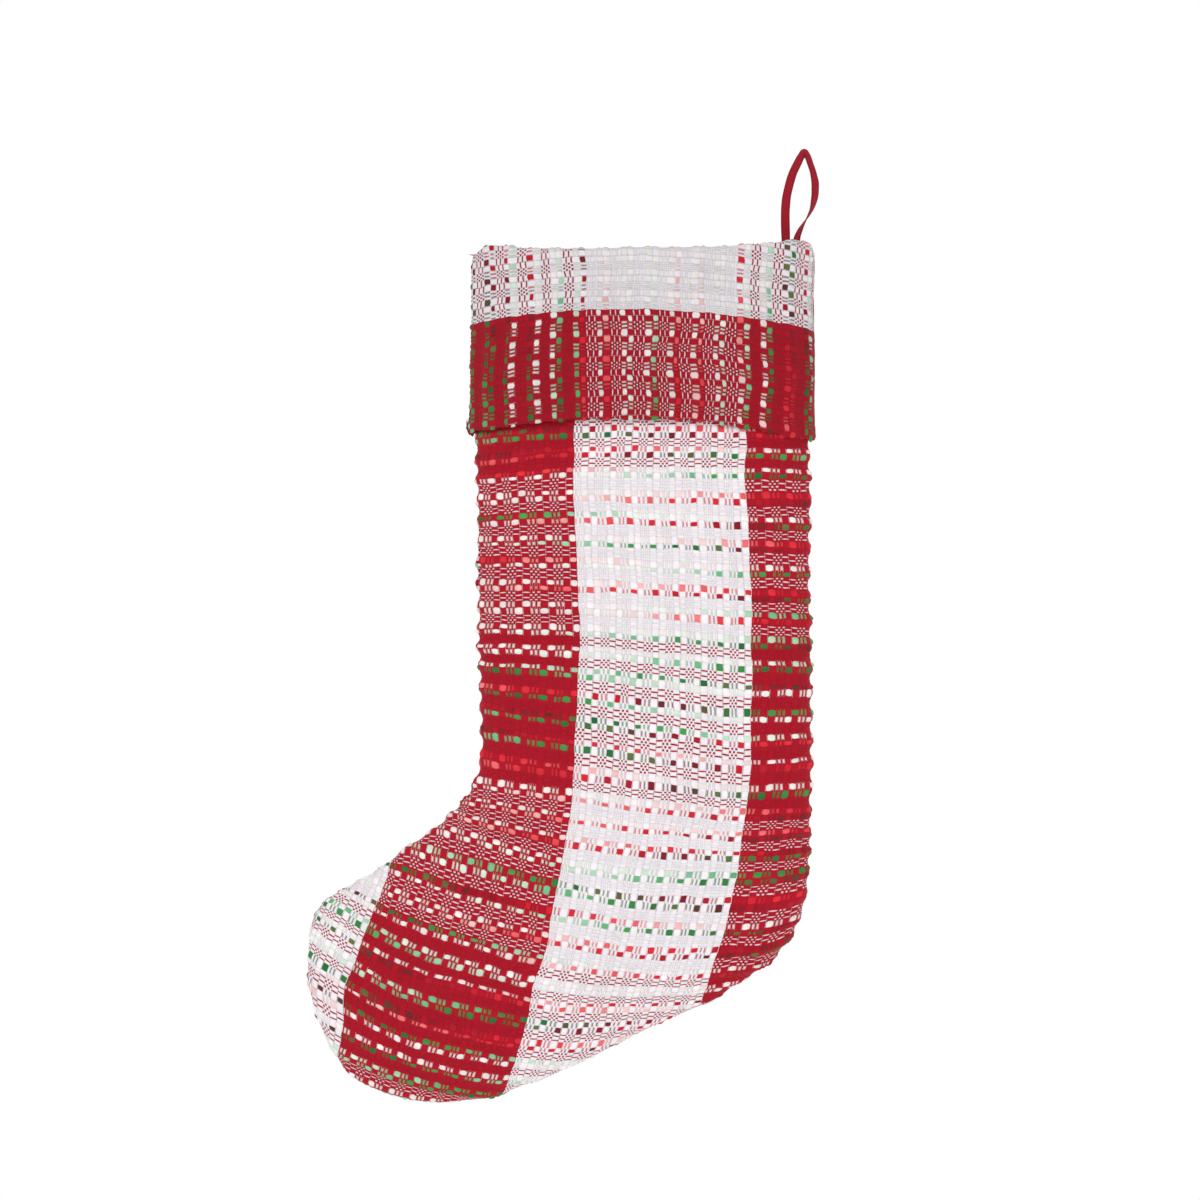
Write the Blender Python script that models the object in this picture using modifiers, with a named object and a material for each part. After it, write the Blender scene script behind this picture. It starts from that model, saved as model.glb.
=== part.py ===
"""A woven Christmas stocking with a folded-down cuff, a lining and a tape loop to hang it by.

Metres, +Z up. The front faces -Y and the toe points to -X. The origin is the hook's place, inside the
top of the loop. Every shell is a front or a back half, and the halves meet at the plane Y = 0.
"""

import math

import bmesh
import bpy
import numpy as np

# Cloth thicknesses and clearances
WOVEN_THICKNESS = 0.0018
LINING_THICKNESS = 0.0008
GAP = 0.0003

# The leg and foot: half of the stuffed thickness, and how far in from the outline it is reached
BODY_HALF_DEPTH = 0.0170
EDGE_ROUNDING = 0.0420
RIM_STRIP = 0.0014
LEG_WIDTH = 0.1940
HEEL_SIDE_X = 0.0020
INSTEP_SIDE_X = HEEL_SIDE_X - LEG_WIDTH
PANEL_TOP_Z = -0.0600
CORNER_INSET = 0.0060
CORNER_HEIGHT = 0.0120
LINING_INSET = 0.0062

# Lines across the stocking from its instep side to its heel side, down the leg and along the foot
LEG_AND_FOOT_LINES = (
    ((INSTEP_SIDE_X, PANEL_TOP_Z), (HEEL_SIDE_X, PANEL_TOP_Z)),
    ((INSTEP_SIDE_X, -0.2000), (HEEL_SIDE_X, -0.2000)),
    ((-0.1895, -0.3550), (0.0030, -0.4000)),
    ((-0.1945, -0.3735), (0.0010, -0.4290)),
    ((-0.2080, -0.3910), (-0.0070, -0.4590)),
    ((-0.2300, -0.4085), (-0.0360, -0.4875)),
    ((-0.2600, -0.4290), (-0.0960, -0.5185)),
    ((-0.2830, -0.4420), (-0.1600, -0.5475)),
    ((-0.2905, -0.4560), (-0.1950, -0.5588)),
    ((-0.2920, -0.4830), (-0.2250, -0.5592)),
    ((-0.2870, -0.5080), (-0.2560, -0.5490)),
)
TOE_TIP = (-0.2760, -0.5320)

# The cuff: a flap that hangs outside the leg, front and back
CUFF_LEFT_X = -0.1957
CUFF_RIGHT_X = 0.0058
CUFF_TOP_LEFT_Z = -0.0565
CUFF_TOP_RIGHT_Z = -0.0545
CUFF_CORNER_RADIUS = 0.0090
CUFF_HEM_LEFT_Z = -0.1660
CUFF_HEM_RIGHT_Z = -0.1725
CUFF_HEM_ARCH = 0.0110
CUFF_HALF_DEPTH = 0.0212
CUFF_SIDE_GAP = 0.0020
CUFF_FACING_TRIM = 0.0040
CUFF_HINGE_Y = 0.0100
CUFF_HINGE_Z = -0.0570

# The hanging loop: a flat tape, its two ends side by side on the mouth
TAPE_WIDTH = 0.0050
TAPE_THICKNESS = 0.0010
LOOP_HINGE_X = -0.0075
LOOP_HINGE_Z = -0.0525
LOOP_FOOT_Z = -0.0530
# x, z and turn of the tape about its own length in degrees, from the left end over the top to the right end
LOOP_ROUTE = (
    (-0.0108, LOOP_FOOT_Z, 0.0),
    (-0.0112, -0.0400, 0.0),
    (-0.0110, -0.0270, 5.0),
    (-0.0088, -0.0130, 20.0),
    (-0.0035, -0.0010, 50.0),
    (0.0003, 0.0016, 80.0),
    (0.0042, -0.0030, 60.0),
    (0.0074, -0.0160, 25.0),
    (0.0082, -0.0270, 30.0),
    (0.0045, -0.0370, 80.0),
    (-0.0010, -0.0450, 150.0),
    (-0.0042, LOOP_FOOT_Z, 180.0),
)

# Seams: rolled cloth edges and rows of thread
BODY_SEAM_RADIUS = 0.0009
BODY_SEAM_INSET = 0.0030
LINING_SEAM_RADIUS = 0.0006
LINING_SEAM_INSET = 0.0048
MOUTH_SEAM_RADIUS = 0.0007
MOUTH_SEAM_Z = PANEL_TOP_Z + MOUTH_SEAM_RADIUS + GAP
CUFF_SEAM_RADIUS = 0.0005
TACK_SIZE = (0.0120, 0.0012, 0.0022)
TACK_TOP_Z = LOOP_FOOT_Z - 0.0012

# How finely the shells are cut up
BODY_ROWS = 26
CUFF_ROWS = 7
LOOP_POINTS = 46
ACROSS = (0.0, 0.008, 0.030, 0.075, 0.140, 0.220, 0.360, 0.5, 0.640, 0.780, 0.860, 0.925, 0.970, 0.992, 1.0)
LINING_ACROSS = (0.0, 0.012, 0.050, 0.120, 0.220, 0.5, 0.780, 0.880, 0.950, 0.988, 1.0)

MATERIALS = {
    "woven_red": ((0.42, 0.013, 0.030, 1.0), 0.90),
    "woven_white": ((0.80, 0.77, 0.78, 1.0), 0.90),
    "lining_cotton": ((0.78, 0.75, 0.70, 1.0), 0.85),
    "tape_red": ((0.36, 0.010, 0.030, 1.0), 0.75),
    "thread_red": ((0.40, 0.015, 0.030, 1.0), 0.70),
}


def clear_scene():
    for obj in list(bpy.data.objects):
        bpy.data.objects.remove(obj, do_unlink=True)


def make_materials():
    made = {}
    for name, (color, roughness) in MATERIALS.items():
        material = bpy.data.materials.new(name)
        material.use_nodes = True
        shader = material.node_tree.nodes["Principled BSDF"]
        shader.inputs["Base Color"].default_value = color
        shader.inputs["Roughness"].default_value = roughness
        material.diffuse_color = color
        made[name] = material
    return made


def smooth_path(points, count):
    """Points evenly spread along a smooth curve through the given ones, which never swings past them."""
    points = np.array(points, float)
    steps = np.linalg.norm(np.diff(points, axis=0), axis=1)
    knots = np.concatenate([[0.0], np.cumsum(steps)])
    rises = np.diff(points, axis=0) / steps[:, None]
    before, after = rises[:-1], rises[1:]
    turns = before * after <= 0.0
    inner = np.where(turns, 0.0, 2 * before * after / np.where(turns, 1.0, before + after))
    slopes = np.concatenate([rises[:1], inner, rises[-1:]])
    places = np.linspace(0.0, knots[-1], count)
    span = np.clip(np.searchsorted(knots, places, side="right") - 1, 0, len(knots) - 2)
    length = (knots[span + 1] - knots[span])[:, None]
    t = (places[:, None] - knots[span][:, None]) / length
    start = (1 + 2 * t) * (1 - t) ** 2 * points[span] + t * (1 - t) ** 2 * length * slopes[span]
    end = t**2 * (3 - 2 * t) * points[span + 1] + t**2 * (t - 1) * length * slopes[span + 1]
    return start + end


def body_lines(inset=0.0):
    """The two ends of each line across the leg and foot, moved in by inset, and last the toe's tip."""
    rows = BODY_ROWS
    lines = [(*a, *b) for a, b in LEG_AND_FOOT_LINES] + [(*TOE_TIP, *TOE_TIP)]
    ends = smooth_path(lines, rows + 1)
    instep, heel = ends[:, :2], ends[:, 2:]
    below_top = PANEL_TOP_Z - instep[:, 1]
    corner = CORNER_INSET * np.clip(1.0 - below_top / CORNER_HEIGHT, 0.0, 1.0) ** 2
    outline = np.concatenate([instep, heel[-2::-1]])
    moved = inset_outline(outline, inset)
    instep, heel = moved[: rows + 1].copy(), moved[: rows - 1 : -1].copy()
    instep[:, 0] += corner
    heel[:, 0] -= corner
    return instep, heel


def inset_outline(outline, inset):
    """An outline that runs down one side and up the other, moved towards its inside."""
    along = np.gradient(outline, axis=0)
    along /= np.linalg.norm(along, axis=1)[:, None]
    inwards = np.stack([-along[:, 1], along[:, 0]], axis=1)
    return outline + inset * inwards


def distance_to_path(points, path):
    """How far each point lies from the nearest piece of a path."""
    start, step = path[:-1], np.diff(path, axis=0)
    length = np.maximum((step**2).sum(axis=1), 1e-12)
    offset = points[:, None, :] - start[None]
    share = np.clip((offset * step).sum(axis=2) / length, 0.0, 1.0)
    nearest = start + share[..., None] * step
    return np.linalg.norm(points[:, None, :] - nearest, axis=2).min(axis=1)


def pillow(distance, half_depth, rounding, strip):
    """The half thickness at a distance in from the edge: a quarter of an ellipse, then flat."""
    share = np.clip(distance / rounding, 0.0, 1.0)
    return strip + (half_depth - strip) * np.sqrt(1.0 - (1.0 - share) ** 2)


def shell_grid(left, right, across, outline, half_depth, rounding, strip, rim):
    """Rows of points (x, y, z) over a half shell, front side, with a flat rim on each side."""
    across = np.array(across)[None, :, None]
    flat = left[:, None, :] * (1 - across) + right[:, None, :] * across
    rows, columns, _ = flat.shape
    distance = distance_to_path(flat.reshape(-1, 2), outline).reshape(rows, columns)
    depth = pillow(distance, half_depth, rounding, strip)
    depth[:, [0, -1]] = strip
    grid = np.stack([flat[..., 0], -depth, flat[..., 1]], axis=2)
    first, last = grid[:, :1].copy(), grid[:, -1:].copy()
    first[..., 1] = -rim
    last[..., 1] = -rim
    return np.concatenate([first, grid, last], axis=1)


def mesh_from_grid(name, grid, back=False):
    """A mesh over rows of points whose faces look out to -Y, or out to +Y when it is the back half."""
    rows, columns, _ = grid.shape
    points = grid * (1.0, -1.0, 1.0) if back else grid
    bm = bmesh.new()
    verts = [[bm.verts.new(p) for p in row] for row in points]
    for i in range(rows - 1):
        for j in range(columns - 1):
            face = [verts[i][j], verts[i + 1][j], verts[i + 1][j + 1], verts[i][j + 1]]
            bm.faces.new(face[::-1] if back else face)
    bmesh.ops.remove_doubles(bm, verts=bm.verts, dist=1e-6)
    bmesh.ops.dissolve_degenerate(bm, edges=bm.edges, dist=1e-6)
    mesh = bpy.data.meshes.new(name)
    bm.to_mesh(mesh)
    bm.free()
    return mesh


def add_shell(name, grid, thickness, material, parts, back=False, pivot=(0.0, 0.0, 0.0)):
    """A cloth shell whose outer face is the grid, with its object's origin at pivot."""
    mesh = mesh_from_grid(name, grid - (pivot[0], -pivot[1] if back else pivot[1], pivot[2]), back)
    mesh.materials.append(material)
    mesh.shade_smooth()
    mesh.set_sharp_from_angle(angle=math.radians(40))
    shell = bpy.data.objects.new(name, mesh)
    shell.location = pivot
    parts.objects.link(shell)
    solid = shell.modifiers.new("cloth", "SOLIDIFY")
    solid.thickness = thickness
    solid.offset = -1.0
    solid.use_even_offset = True
    return shell


def add_tube(name, route, radius, material, parts, closed=False):
    """A thin round roll or row of thread along a route of (x, y, z) points."""
    curve = bpy.data.curves.new(name, "CURVE")
    curve.dimensions = "3D"
    curve.bevel_depth = radius
    curve.bevel_resolution = 1
    curve.use_fill_caps = True
    spline = curve.splines.new("POLY")
    spline.points.add(len(route) - 1)
    for point, place in zip(spline.points, route):
        point.co = (*place, 1.0)
    spline.use_cyclic_u = closed
    curve.materials.append(material)
    tube = bpy.data.objects.new(name, curve)
    parts.objects.link(tube)
    return tube


def panel_grid(across, half_depth, inset=0.0):
    instep, heel = body_lines(inset)
    outline = np.concatenate([instep, heel[-2::-1]])
    side = GAP / 2
    return shell_grid(instep, heel, across, outline, half_depth, EDGE_ROUNDING - inset, RIM_STRIP, side)


def add_body_panels(materials, parts):
    """The two woven panels of the leg and foot, and the cotton lining inside them."""
    outer = panel_grid(ACROSS, BODY_HALF_DEPTH)
    inner_depth = BODY_HALF_DEPTH - WOVEN_THICKNESS - 2 * GAP
    inner = panel_grid(LINING_ACROSS, inner_depth, LINING_INSET)
    woven, cotton = materials["woven_red"], materials["lining_cotton"]
    add_shell("front_panel", outer, WOVEN_THICKNESS, woven, parts)
    add_shell("back_panel", outer, WOVEN_THICKNESS, woven, parts, back=True)
    add_shell("front_lining", inner, LINING_THICKNESS, cotton, parts)
    add_shell("back_lining", inner, LINING_THICKNESS, cotton, parts, back=True)


def cuff_hem_z(x):
    """The free edge of the cuff, an arch that hangs a little lower on the heel side."""
    share = (x - CUFF_LEFT_X) / (CUFF_RIGHT_X - CUFF_LEFT_X)
    chord = CUFF_HEM_LEFT_Z + share * (CUFF_HEM_RIGHT_Z - CUFF_HEM_LEFT_Z)
    return chord + CUFF_HEM_ARCH * (1.0 - (2.0 * share - 1.0) ** 2)


def cuff_top_z(x):
    share = (x - CUFF_LEFT_X) / (CUFF_RIGHT_X - CUFF_LEFT_X)
    return CUFF_TOP_LEFT_Z + share * (CUFF_TOP_RIGHT_Z - CUFF_TOP_LEFT_Z)


def cuff_grid(across, inset, half_depth, trim):
    """One half of the cuff: rows run from the top edge, with its rounded corners, to the hem."""
    radius = CUFF_CORNER_RADIUS
    corner_rows = radius * (1.0 - np.cos(np.radians((20.0, 50.0, 90.0))))
    left_x, right_x = CUFF_LEFT_X + inset, CUFF_RIGHT_X - inset
    left_hem, right_hem = cuff_hem_z(left_x) + trim, cuff_hem_z(right_x) + trim
    left, right = [], []
    for drop in corner_rows:
        side = radius - math.sqrt(radius**2 - (radius - drop) ** 2)
        left.append((left_x + side, cuff_top_z(left_x) - trim - drop))
        right.append((right_x - side, cuff_top_z(right_x) - trim - drop))
    left_side, right_side = left[-1][1], right[-1][1]
    for i in range(1, CUFF_ROWS):
        share = i / (CUFF_ROWS - 1)
        left.append((left_x, left_side + share * (left_hem - left_side)))
        right.append((right_x, right_side + share * (right_hem - right_side)))
    left, right = np.array(left), np.array(right)
    far = 1.0
    outline = np.concatenate([left, [(left_x, -far), (right_x, -far)], right[::-1]])
    side_gap = CUFF_SIDE_GAP
    rounding = EDGE_ROUNDING - inset
    strip = side_gap + RIM_STRIP
    grid = shell_grid(left, right, across, outline, half_depth, rounding, strip, side_gap)
    return arched(grid, left, right, trim)


def arched(grid, left, right, trim):
    """Bends the straight rows of a cuff, more and more towards the hem, to follow the hem's arch."""
    share_down = np.linspace(0.0, 1.0, grid.shape[0])[:, None] ** 2
    chord = left[-1, 1] + (grid[-1, :, 0] - left[-1, 0]) / (right[-1, 0] - left[-1, 0]) * (
        right[-1, 1] - left[-1, 1]
    )
    rise = cuff_hem_z(grid[-1, :, 0]) + trim - chord
    grid = grid.copy()
    grid[..., 2] += share_down * rise[None]
    return grid


def add_cuff(materials, parts):
    """The woven cuff's two halves and the turned-in layer under each, which lift at the top fold."""
    outer = cuff_grid(ACROSS, 0.0, CUFF_HALF_DEPTH, 0.0)
    under = WOVEN_THICKNESS + 2 * GAP
    inner = cuff_grid(ACROSS, under, CUFF_HALF_DEPTH - under, CUFF_FACING_TRIM)
    pivot_x = (CUFF_LEFT_X + CUFF_RIGHT_X) / 2
    for side, back in (("front", False), ("back", True)):
        pivot = (pivot_x, CUFF_HINGE_Y if back else -CUFF_HINGE_Y, CUFF_HINGE_Z)
        woven, white = materials["woven_red"], materials["woven_white"]
        add_shell(f"cuff_{side}", outer, WOVEN_THICKNESS, woven, parts, back, pivot)
        add_shell(f"cuff_{side}_facing", inner, LINING_THICKNESS, white, parts, back, pivot)


def add_seams(materials, parts):
    """The rolled seam allowances round the leg and foot, at the mouth and down the cuff's two sides."""
    thread = materials["thread_red"]
    for name, radius, inset, material in (
        ("body_seam", BODY_SEAM_RADIUS, BODY_SEAM_INSET, thread),
        ("lining_seam", LINING_SEAM_RADIUS, LINING_SEAM_INSET, materials["lining_cotton"]),
    ):
        instep, heel = body_lines(inset)
        path = np.concatenate([instep[1:], heel[-2:0:-1]])
        add_tube(name, [(x, 0.0, z) for x, z in path], radius, material, parts)
    add_tube("mouth_seam", mouth_route(), MOUTH_SEAM_RADIUS, thread, parts, closed=True)
    for side, x in (("instep", CUFF_LEFT_X), ("heel", CUFF_RIGHT_X)):
        inwards = 1.0 if side == "instep" else -1.0
        x_seam = x + inwards * (CUFF_SEAM_RADIUS + GAP)
        top = cuff_top_z(x) - CUFF_CORNER_RADIUS
        bottom = cuff_hem_z(x) + CUFF_FACING_TRIM
        route = [(x_seam, 0.0, top), (x_seam, 0.0, (top + bottom) / 2), (x_seam, 0.0, bottom)]
        add_tube(f"cuff_seam_{side}", route, CUFF_SEAM_RADIUS, thread, parts)


def mouth_route():
    """Round the mouth on top of the woven panels' edges, in the middle of their thickness."""
    top = panel_grid(ACROSS, BODY_HALF_DEPTH)[0]
    front = top[1:-1, :2].copy()
    inwards = WOVEN_THICKNESS / 2
    front[:, 1] += inwards
    front[0, 0] += inwards
    front[-1, 0] -= inwards
    back = front[::-1] * (1.0, -1.0)
    return [(x, y, MOUTH_SEAM_Z) for x, y in np.concatenate([front, back])]


def add_hanging_loop(materials, parts):
    """The tape loop, a flat strip that turns about its own length as it comes down on the right."""
    route = smooth_path([(x * 1000, z * 1000, turn) for x, z, turn in LOOP_ROUTE], LOOP_POINTS)
    centre = np.stack([route[:, 0], np.zeros(len(route)), route[:, 1]], axis=1) / 1000
    along = np.gradient(centre, axis=0)
    along /= np.linalg.norm(along, axis=1)[:, None]
    flat = np.stack([-along[:, 2], np.zeros(len(route)), along[:, 0]], axis=1)
    turn = np.radians(route[:, 2])[:, None]
    wide = np.cos(turn) * flat + np.sin(turn) * np.array([0.0, 1.0, 0.0])
    thick = np.cross(along, wide)
    half_width, half_thickness = TAPE_WIDTH / 2, TAPE_THICKNESS / 2
    bm = bmesh.new()
    rings = []
    for point, w, t in zip(centre, wide * half_width, thick * half_thickness):
        rings.append([bm.verts.new(point + a * w + b * t) for a, b in ((1, 1), (-1, 1), (-1, -1), (1, -1))])
    for ring, following in zip(rings, rings[1:]):
        for k in range(4):
            bm.faces.new([ring[k], ring[(k + 1) % 4], following[(k + 1) % 4], following[k]])
    bm.faces.new(rings[0][::-1])
    bm.faces.new(rings[-1])
    bmesh.ops.recalc_face_normals(bm, faces=bm.faces)
    mesh = bpy.data.meshes.new("hanging_loop")
    bm.to_mesh(mesh)
    bm.free()
    mesh.materials.append(materials["tape_red"])
    mesh.shade_smooth()
    mesh.set_sharp_from_angle(angle=math.radians(40))
    parts.objects.link(bpy.data.objects.new("hanging_loop", mesh))


def add_loop_tack(materials, parts):
    """The block of close stitches that holds the loop's two ends to the mouth seam."""
    bpy.ops.mesh.primitive_cube_add(size=1.0)
    tack = bpy.context.active_object
    tack.name = "loop_tack"
    tack.scale = TACK_SIZE
    bpy.ops.object.transform_apply(location=False, rotation=False, scale=True)
    tack.location = (LOOP_HINGE_X, 0.0, TACK_TOP_Z - TACK_SIZE[2] / 2)
    tack.data.materials.append(materials["thread_red"])
    edge = tack.modifiers.new("soft_edges", "BEVEL")
    edge.width = TACK_SIZE[1] / 4
    edge.segments = 2
    for collection in list(tack.users_collection):
        collection.objects.unlink(tack)
    parts.objects.link(tack)


def build():
    clear_scene()
    parts = bpy.data.collections.new("hanging_stocking")
    bpy.context.scene.collection.children.link(parts)
    materials = make_materials()
    add_body_panels(materials, parts)
    add_cuff(materials, parts)
    add_seams(materials, parts)
    add_hanging_loop(materials, parts)
    add_loop_tack(materials, parts)


build()
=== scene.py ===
"""The looks of the woven hanging stocking: plaid woven yarn by yarn, cuff, lining, seams and tape loop."""
import math

import bpy
import numpy as np
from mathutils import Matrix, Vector


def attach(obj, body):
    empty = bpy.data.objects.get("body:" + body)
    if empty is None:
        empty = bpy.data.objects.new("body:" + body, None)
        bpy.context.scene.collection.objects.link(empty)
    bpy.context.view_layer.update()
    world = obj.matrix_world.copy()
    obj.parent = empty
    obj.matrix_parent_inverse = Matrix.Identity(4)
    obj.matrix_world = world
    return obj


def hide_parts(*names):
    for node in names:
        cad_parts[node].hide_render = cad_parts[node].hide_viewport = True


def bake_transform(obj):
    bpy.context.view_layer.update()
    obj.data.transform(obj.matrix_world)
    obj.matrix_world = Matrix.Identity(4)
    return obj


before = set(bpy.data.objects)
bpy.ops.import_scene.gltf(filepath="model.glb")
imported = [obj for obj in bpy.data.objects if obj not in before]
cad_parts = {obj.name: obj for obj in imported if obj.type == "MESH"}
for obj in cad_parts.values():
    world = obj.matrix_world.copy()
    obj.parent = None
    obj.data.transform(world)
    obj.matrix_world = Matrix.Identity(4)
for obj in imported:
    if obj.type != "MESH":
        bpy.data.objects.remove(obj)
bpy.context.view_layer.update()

MM = 0.001


def color(text):
    """Linear RGB of an sRGB colour written as six hex digits."""
    parts = np.array([int(text[i : i + 2], 16) / 255 for i in (0, 2, 4)])
    return np.where(parts <= 0.04045, parts / 12.92, ((parts + 0.055) / 1.055) ** 2.4)


# ---- the cloth
CRIMSON = color("AE0D24")
WHITE = color("F1EBEF")
# One period of the warp, in mm: four thin ends, then two thick ones side by side
END_WIDTHS = (1.15, 1.15, 1.15, 1.15, 4.1, 4.1)
END_CUTS = (2, 2, 2, 2, 4, 4)
END_PERIOD = sum(END_WIDTHS)
# One period of the weft: two slub picks and four thin ones. Even ends lie over even picks
PICK_WIDTHS = (4.1, 4.1, 1.6, 1.6, 1.6, 1.6)
PICK_CUTS = (4, 4, 2, 2, 2, 2)
PICK_PERIOD = sum(PICK_WIDTHS)
# How much of its unevenness a thin yarn takes
THIN_UNEVENNESS = 0.4
# Heights above the cloth's middle, in mm: slub over a thick end and a thin one, thin pick over the same
WEFT_RISES = (1.0, 0.60, 0.24, 0.16)
# The same where the end is on top: thick end and thin end over a slub, and over a thin pick
WARP_RISES = (0.42, 0.30, 0.12, 0.12)
# How much of its cell a thin pick's float fills: over a thick white and a thick red end, and the thin ones
DASH_WIDTHS = (0.63, 0.56, 0.75, 0.66)
# How far a float narrows to its ends: slub over white and over red, thin pick over white and over red
TAPERS = (0.16, 0.42, 0.30, 0.70)
# How far along its cell a slub shows: over a thin white end, a thin red one, a thick white, a thick red
SLUB_REACHES = (0.72, 0.92, 0.95, 0.98)
WHOLE_CELL = 1.2
# Beside a thin red end the slub is narrower where it is on top, and shows at both sides where the end is
TICK_OVER, TICK_UNDER = 0.86, 0.80
# How much of the warp's colour shows in a slub over a thin end, and in a thin white pick over red
TICK_TINT, RED_FLUFF = 0.20, 0.26

# The slub yarn's dye runs through these colours and back to the first
SLUB_DYES = (
    (0.00, "ECE3DE"), (0.16, "F1EBE8"), (0.26, "E4EBDF"), (0.32, "B9D9BC"), (0.36, "7DC295"),
    (0.41, "479A4E"), (0.48, "1F6B36"), (0.52, "66703F"), (0.55, "5E2B2A"), (0.60, "931226"),
    (0.66, "CF1E2E"), (0.74, "E0323C"), (0.79, "EE7274"), (0.84, "F2C3BE"), (0.90, "F0E4E2"),
    (1.00, "ECE3DE"),
)

# How far along the dyes each slub yarn is where it enters the white column, or at the cuff's hem. By period:
# the first and the second slub pick. A minus sign means that the dyes run the other way
DYE_LENGTH = 500.0
BODY_DYES = {
    -9: (0.60, 0.47), -8: (0.67, -0.67), -7: (0.79, 0.22), -6: (-0.97, -0.86), -5: (-0.36, -0.80),
    -4: (-0.99, 0.34), -3: (0.84, 0.20), -2: (-0.90, -0.77), -1: (0.12, -0.93), 0: (0.12, 0.29),
    1: (0.02, 0.24), 2: (0.33, -0.39), 3: (-0.68, -0.42), 4: (-0.52, 0.48), 5: (0.68, 0.45),
    6: (0.79, -0.68), 7: (-0.98, -0.82), 8: (-0.99, -0.78), 9: (-0.86, -0.72), 10: (0.20, 0.29),
    11: (0.46, 0.37), 12: (0.68, 0.32), 13: (-0.85, -0.76), 14: (-0.30, -0.84), 15: (-0.14, -0.22),
    16: (-0.82, 0.72), 17: (0.46, 0.52), 18: (0.70, -0.68), 19: (-0.34, 0.08), 20: (-0.95, -0.34),
    21: (0.45, 0.52),
}
CUFF_DYES = {
    0: (0.36, 0.40), 1: (0.38, 0.43), 2: (0.43, 0.12), 3: (0.47, 0.02), 4: (-0.34, -0.50),
    5: (-0.43, -0.76), 6: (0.92, 0.70), 7: (0.02, -0.27), 8: (0.05, -0.40), 9: (-0.12, 0.69),
    10: (0.83, 0.70), 11: (0.02, -0.32), 12: (-0.92, -0.40), 13: (0.88, -0.52), 14: (-0.75, -0.71),
    15: (0.44, -0.42),
}


def slub_colors(share):
    """The colours at shares of the dye's length."""
    stops = np.array([s for s, _ in SLUB_DYES])
    dyes = np.array([color(c) for _, c in SLUB_DYES])
    share = np.asarray(share) % 1.0
    return np.stack([np.interp(share, stops, dyes[:, i]) for i in range(3)], axis=-1)


class Yarns:
    """The ends or the picks of a piece of cloth: where each lies and how it is cut up into faces."""

    def __init__(self, widths, cuts, first_period, periods, uneven, seed):
        rng = np.random.default_rng(seed)
        least = min(widths)
        spread = [(w, uneven * (1.0 if w > least else THIN_UNEVENNESS)) for w in widths]
        drawn = [[w * (1 + part * rng.uniform(-1, 1)) for w, part in spread] for _ in range(periods)]
        drawn = np.array(drawn)
        drawn *= sum(widths) / drawn.sum(axis=1)[:, None]
        edges, lines, owner = [0.0], [0.0], []
        for k in range(periods * len(widths)):
            width, cut = drawn[k // len(widths), k % len(widths)], cuts[k % len(widths)]
            start = edges[-1]
            edges.append(start + width)
            for i in range(cut):
                lines.append(start + width * (i + 1) / cut)
                owner.append(k)
        shift = first_period * sum(widths)
        self.edges = np.array(edges) + shift
        self.lines = np.array(lines) + shift
        self.owner = np.array(owner)
        self.centre = (self.edges[1:] + self.edges[:-1]) / 2
        self.half = (self.edges[1:] - self.edges[:-1]) / 2
        self.place = np.arange(len(self.centre)) % len(widths)
        self.period = first_period + np.arange(len(self.centre)) // len(widths)


def waves(u, v, size, seed, count=7):
    """A smooth random field from -1 to 1 whose bumps are about size across."""
    rng = np.random.default_rng(seed)
    total = np.zeros(np.broadcast(u, v).shape)
    for _ in range(count):
        turn, phase = rng.uniform(0, 2 * math.pi, 2)
        length = size * rng.uniform(0.7, 1.6)
        total += np.sin((u * math.cos(turn) + v * math.sin(turn)) * 2 * math.pi / length + phase)
    return total / math.sqrt(count) / 1.4


def by_kind(first, second, values):
    """One of four values for each cell: where both hold, only the first, only the second, or neither."""
    both, first_only, second_only, neither = values
    return np.where(first, np.where(second, both, first_only), np.where(second, second_only, neither))


def woven(ends, picks, end_white, pick_white, dyes, seed):
    """What doesn't depend on the cloth's place: which yarn is on top, how high, how thick and what dye."""
    rng = np.random.default_rng(seed)
    thick_end = ends.place >= 4
    slub = picks.place < 2
    over = (ends.place[None, :] + picks.place[:, None]) % 2 == 1  # weft on top
    weft_height = by_kind(slub[:, None], thick_end[None, :], WEFT_RISES)
    warp_height = by_kind(slub[:, None], thick_end[None, :], WARP_RISES)
    amount = rng.uniform(0.7, 1.25, (len(picks.centre), 1)) * rng.uniform(0.8, 1.2, over.shape)
    height = np.where(over, weft_height * np.where(slub[:, None], amount, 1.0), warp_height)
    # a slub yarn swells and thins along its length
    along = ends.centre
    swell = np.zeros(over.shape)
    share = np.zeros(over.shape)
    for j in np.flatnonzero(slub):
        r = rng.uniform(0, 1, 8)
        slow = np.sin(along * 2 * math.pi / (35 + 50 * r[0]) + 6.28 * r[1])
        quick = np.sin(along * 2 * math.pi / (11 + 9 * r[2]) + 6.28 * r[3])
        swell[j] = 0.92 + 0.16 * (r[6] - 0.5) + 0.16 * slow + 0.07 * quick
        # the draws are made even where a dye is given, so that giving one leaves the others as they are
        chance = [rng.choice((-1, 1)) * rng.uniform(0.01, 1) for _ in range(2)]
        start = dyes.get(int(picks.period[j]), chance)[picks.place[j]]
        drift = 0.012 * np.sin(along * 2 * math.pi / 37 + 6.28 * r[4])
        drift = drift + 0.008 * rng.standard_normal(len(along))
        share[j] = abs(start) + math.copysign(1, start) * along / (DYE_LENGTH * (0.9 + 0.2 * r[5])) + drift
    swell = np.clip(swell, 0.55, 1.12)
    return {
        "ends": ends, "picks": picks, "over": over, "height": height, "swell": swell, "share": share,
        "thick_end": thick_end, "slub": slub, "end_white": end_white, "pick_white": pick_white,
    }


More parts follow.
